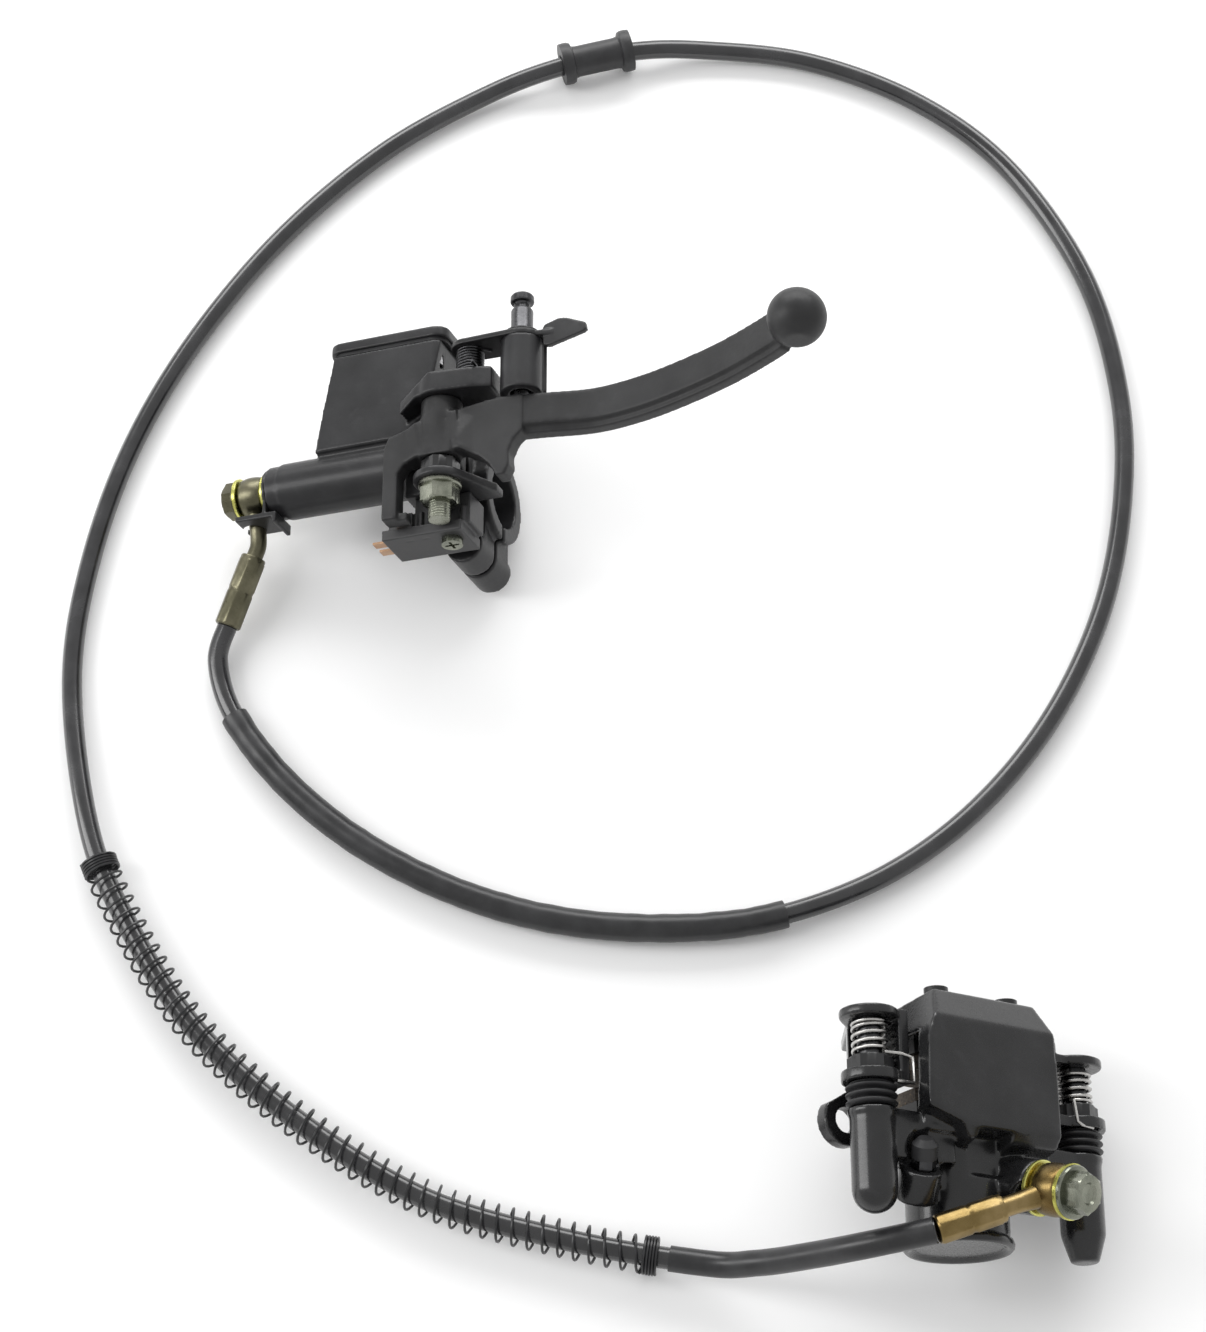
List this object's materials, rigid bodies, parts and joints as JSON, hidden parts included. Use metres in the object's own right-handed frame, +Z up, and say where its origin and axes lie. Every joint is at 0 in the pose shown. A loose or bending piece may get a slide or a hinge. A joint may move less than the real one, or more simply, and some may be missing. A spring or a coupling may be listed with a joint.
{
  "type": "rear brake",
  "caption": "Hydraulic rear brake set for a small quad: handlebar master cylinder with parking lock, long braided hose with wire guard, and floating single-piston caliper",
  "frame": {"origin": "on the table under the middle of the box round the rigid pieces", "axes": "+X right and +Y away as the picture is seen, +Z up off the table that the set lies on"},
  "size_m": [0.3907, 0.4945, 0.1432],
  "materials": {
    "satin_black_paint": "satin",
    "gloss_black_paint": "gloss",
    "black_rubber": "matte",
    "grey_rubber": "matte",
    "black_hose": "satin",
    "black_wire": "satin",
    "zinc": "satin",
    "olive_zinc": "satin",
    "yellow_zinc": "satin",
    "yellow_washer": "gloss",
    "bright_steel": "gloss",
    "black_plastic": "matte",
    "friction_lining": "matte",
    "bronze": "satin"
  },
  "bodies": {
    "frame": {"master_body": "satin_black_paint", "reservoir_cap": "satin_black_paint", "reservoir_diaphragm": "black_rubber", "cap_screws": "zinc", "bar_clamp": "satin_black_paint", "clamp_bolts": "zinc", "pivot_bolt": "zinc", "pivot_nut": "zinc", "pivot_lock_nut": "satin_black_paint", "piston_return_spring": "bright_steel", "piston_circlip": "bright_steel", "switch_body": "black_plastic", "switch_screw": "zinc", "switch_terminals": "yellow_washer", "parking_spring": "bright_steel", "parking_pin_spring": "bright_steel", "upper_banjo_bolt": "olive_zinc", "upper_washers": "yellow_washer", "upper_banjo": "olive_zinc", "hose_bracket": "satin_black_paint", "upper_crimp": "olive_zinc", "brake_hose": "black_hose", "hose_sleeve": "black_hose", "hose_grommet": "grey_rubber", "hose_spring_guard": "black_wire", "guard_collars": "black_wire", "hose_end_sleeve": "black_hose", "lower_crimp": "yellow_zinc", "lower_banjo": "yellow_zinc", "lower_washers": "yellow_washer", "lower_banjo_bolt": "zinc", "caliper_body": "gloss_black_paint", "piston_seal": "black_rubber", "dust_seal": "black_rubber", "outer_pad_plate": "black_wire", "outer_pad_lining": "friction_lining", "pad_pins": "bright_steel", "pad_spring": "bright_steel", "left_pin_spring": "bright_steel", "right_pin_spring": "bright_steel", "left_bellows": "black_rubber", "right_bellows": "black_rubber", "bleed_screw": "bright_steel", "bleed_cap": "black_rubber"},
    "lever": {"brake_lever": "satin_black_paint", "pivot_bush": "bronze"},
    "piston": {"master_piston": "bright_steel", "primary_cup": "black_rubber", "secondary_cup": "black_rubber"},
    "switch_button": {"switch_plunger": "bronze"},
    "lock_arm": {"parking_arm": "satin_black_paint", "parking_barrel": "satin_black_paint"},
    "lock_pin": {"parking_pin": "bright_steel"},
    "bracket": {"caliper_bracket": "satin_black_paint", "slide_pins": "bright_steel", "pin_nuts": "satin_black_paint"},
    "caliper_plunger": {"caliper_piston": "bright_steel"},
    "inner_pad": {"inner_pad_plate": "black_wire", "inner_pad_lining": "friction_lining"}
  },
  "joints": [
    {"name": "lever_pivot", "type": "hinge", "parent": "frame", "child": "lever", "pos_m": [-0.06977, 0.119, 0.05743], "axis": [0, 1, 0], "range_deg": [0, 13], "stiffness_Nm_per_rad": 0.35, "springref_deg": -20.05},
    {"name": "piston_slide", "type": "slide", "parent": "frame", "child": "piston", "axis": [-0.9397, 0, -0.342], "range_m": [0, 0.0033], "deforming": ["piston_return_spring"]},
    {"name": "switch_slide", "type": "slide", "parent": "frame", "child": "switch_button", "axis": [-0.342, 0, 0.9397], "range_m": [0, 0.0022]},
    {"name": "lock_arm_pivot", "type": "hinge", "parent": "frame", "child": "lock_arm", "pos_m": [-0.0599, 0.148, 0.06102], "axis": [0, 1, 0], "range_deg": [0, 12], "stiffness_Nm_per_rad": 0.03, "springref_deg": -34.38},
    {"name": "lock_pin_slide", "type": "slide", "parent": "lock_arm", "child": "lock_pin", "axis": [0, 1, 0], "range_m": [0, 0.004], "stiffness_N_per_m": 150, "springref_m": -0.004, "deforming": ["parking_pin_spring"]},
    {"name": "bracket_slide", "type": "slide", "parent": "frame", "child": "bracket", "axis": [0, -1, 0], "range_m": [0, 0.003], "stiffness_N_per_m": 400, "springref_m": -0.004, "deforming": ["left_pin_spring", "right_pin_spring", "left_bellows", "right_bellows"]},
    {"name": "caliper_piston_slide", "type": "slide", "parent": "frame", "child": "caliper_plunger", "axis": [0, 1, 0], "range_m": [0, 0.003]},
    {"name": "inner_pad_slide", "type": "slide", "parent": "frame", "child": "inner_pad", "axis": [0, 1, 0], "range_m": [0, 0.003]}
  ],
  "couplings": [
    {"joint": "piston_slide", "follows": "lever_pivot", "m_per_rad": 0.014},
    {"joint": "switch_slide", "follows": "lever_pivot", "m_per_rad": 0.0095},
    {"joint": "inner_pad_slide", "follows": "caliper_piston_slide", "ratio": 1}
  ]
}
